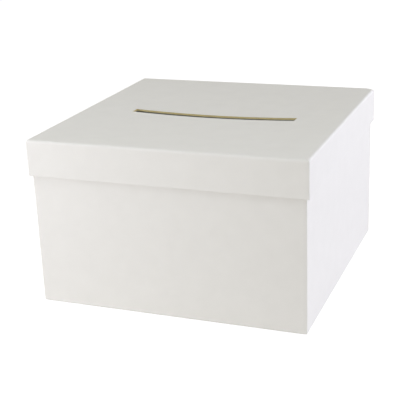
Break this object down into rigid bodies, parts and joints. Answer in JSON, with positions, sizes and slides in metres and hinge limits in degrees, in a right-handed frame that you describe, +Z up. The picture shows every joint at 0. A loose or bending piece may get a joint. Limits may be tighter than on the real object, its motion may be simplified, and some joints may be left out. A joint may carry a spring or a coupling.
{
  "type": "wedding card box",
  "caption": "Square rigid card box: a paper-covered board tray with a lift-off lid that overhangs it and a long slot across the lid for cards and envelopes.",
  "frame": {"origin": "middle of the base, on the surface that the box stands on", "axes": "+X along the slot to the right, +Y from front to back, +Z up, the way the lid lifts"},
  "size_m": [0.3, 0.3, 0.182],
  "materials": {
    "cover_paper": "satin",
    "board": "matte",
    "stay_paper": "matte",
    "lining_paper": "matte",
    "base_paper": "matte"
  },
  "bodies": {
    "tray": {"tray_board": "board", "tray_stay_front_left": "stay_paper", "tray_stay_front_right": "stay_paper", "tray_stay_back_left": "stay_paper", "tray_stay_back_right": "stay_paper", "tray_wrap": "cover_paper", "base_sheet": "base_paper", "tray_lining_front": "lining_paper", "tray_lining_back": "lining_paper", "tray_lining_left": "lining_paper", "tray_lining_right": "lining_paper", "tray_lining_floor": "lining_paper"},
    "lid": {"lid_board": "board", "lid_stay_front_left": "stay_paper", "lid_stay_front_right": "stay_paper", "lid_stay_back_left": "stay_paper", "lid_stay_back_right": "stay_paper", "lid_wrap": "cover_paper", "lid_lining": "lining_paper"}
  },
  "joints": [
    {"name": "lid_lift", "type": "slide", "parent": "tray", "child": "lid", "axis": [0, 0, 1], "range_m": [0, 0.14]}
  ]
}
